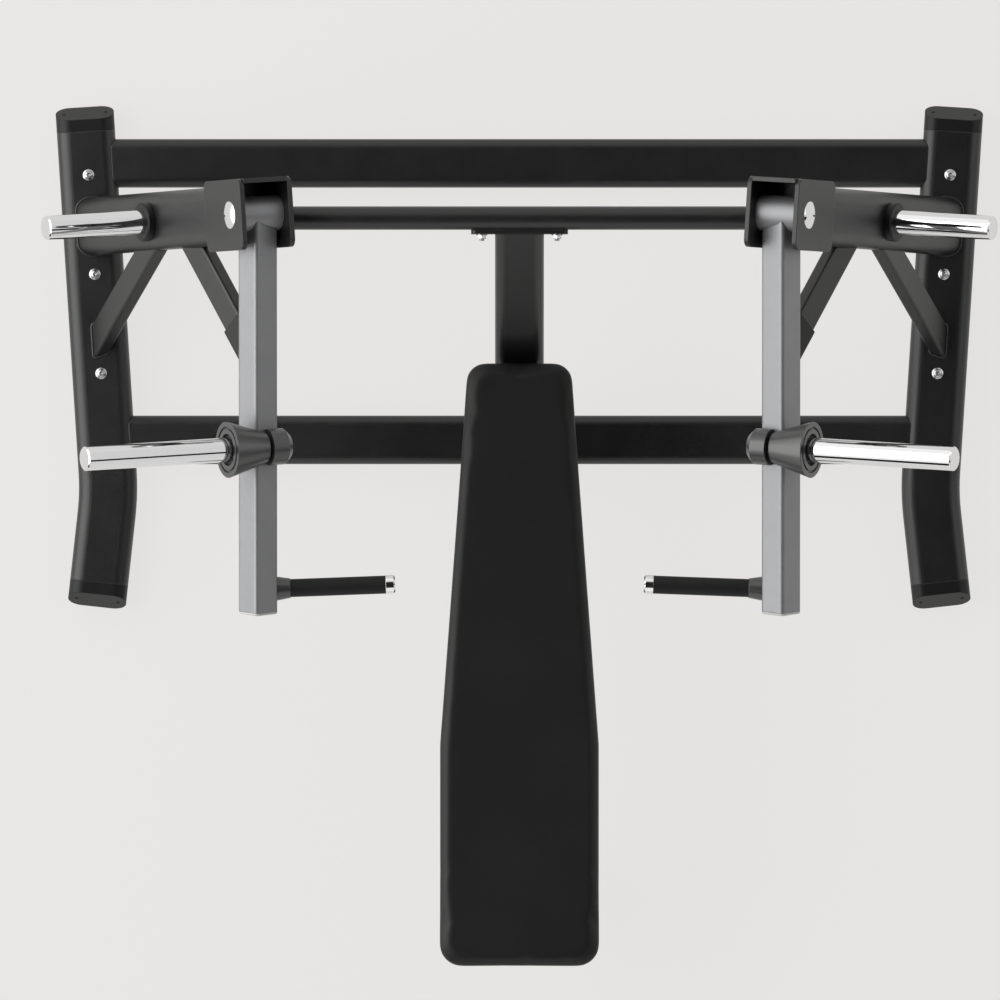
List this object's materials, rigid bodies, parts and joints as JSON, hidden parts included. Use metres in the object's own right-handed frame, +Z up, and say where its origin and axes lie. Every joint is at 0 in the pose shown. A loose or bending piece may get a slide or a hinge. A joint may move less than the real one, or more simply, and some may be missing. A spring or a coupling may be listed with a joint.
{
  "type": "chest press machine",
  "caption": "Plate-loaded lying chest press with a flat tapered pad, a splayed tube frame and converging press arms on tilted hinges.",
  "frame": {"origin": "on the floor, at the middle of the machine's box seen from above", "axes": "+X to the lifter's right side of the plan, across the machine; +Y towards the hinges at the head end; +Z up"},
  "size_m": [1.96, 1.7669, 0.9131],
  "materials": {
    "black_paint": "fine textured powder coat",
    "silver_paint": "metallic powder coat with a fine sparkle",
    "chrome": "polished",
    "zinc": "bright zinc",
    "black_plastic": "moulded satin",
    "silver_plastic": "smooth",
    "rubber": "matt",
    "grip_rubber": "matt, fine pores",
    "vinyl": "matt fine-grained upholstery vinyl",
    "plywood": "black stained edge",
    "bush": "sintered bronze",
    "hub_black": "satin turned"
  },
  "bodies": {
    "frame": {"axle_caps": "chrome", "bracket_back_left": "black_paint", "bracket_back_right": "black_paint", "cap_screws": "black_plastic", "centre_post": "black_paint", "cross_tube": "black_paint", "flange_bolts": "zinc", "foot_caps": "black_plastic", "front_crossbar": "black_paint", "front_foot": "black_paint", "front_leg": "black_paint", "inner_ear_left": "black_paint", "inner_ear_right": "black_paint", "outer_brace_left": "black_paint", "outer_brace_right": "black_paint", "outer_ear_left": "black_paint", "outer_ear_right": "black_paint", "pad_beam": "black_paint", "pad_board": "plywood", "pad_bolts": "zinc", "pad_brackets": "black_paint", "pad_cushion": "vinyl", "pivot_axles": "zinc", "post_left": "black_paint", "post_right": "black_paint", "rail_bolts": "zinc", "rail_caps": "black_plastic", "rail_left": "black_paint", "rail_right": "black_paint", "rear_crossbar": "black_paint", "rubber_feet": "rubber", "spine": "black_paint", "spine_flange": "black_paint", "stop_brace_left": "black_paint", "stop_brace_right": "black_paint", "stop_pads": "rubber", "storage_collars": "black_plastic", "storage_horn_left": "chrome", "storage_horn_right": "chrome", "tube_flange": "black_paint"},
    "arm_left_body": {"arm_left": "silver_paint", "arm_end_plug_left": "silver_plastic", "pivot_barrel_left": "silver_paint", "arm_bushes_left": "bush", "weight_horn_left": "chrome", "horn_hub_left": "hub_black", "hub_cap_left": "hub_black", "handle_bar_left": "hub_black", "handle_grip_left": "grip_rubber", "handle_end_left": "chrome"},
    "arm_right_body": {"arm_right": "silver_paint", "arm_end_plug_right": "silver_plastic", "pivot_barrel_right": "silver_paint", "arm_bushes_right": "bush", "weight_horn_right": "chrome", "horn_hub_right": "hub_black", "hub_cap_right": "hub_black", "handle_bar_right": "hub_black", "handle_grip_right": "grip_rubber", "handle_end_right": "chrome"}
  },
  "joints": [
    {"name": "press_left", "type": "hinge", "parent": "frame", "child": "arm_left_body", "pos_m": [-0.5515, 0.6576, 0.758], "axis": [-0.9045, -0.0577, 0.4226], "range_deg": [0, 45]},
    {"name": "press_right", "type": "hinge", "parent": "frame", "child": "arm_right_body", "pos_m": [0.5515, 0.6576, 0.758], "axis": [-0.9045, 0.0577, -0.4226], "range_deg": [0, 45]}
  ]
}
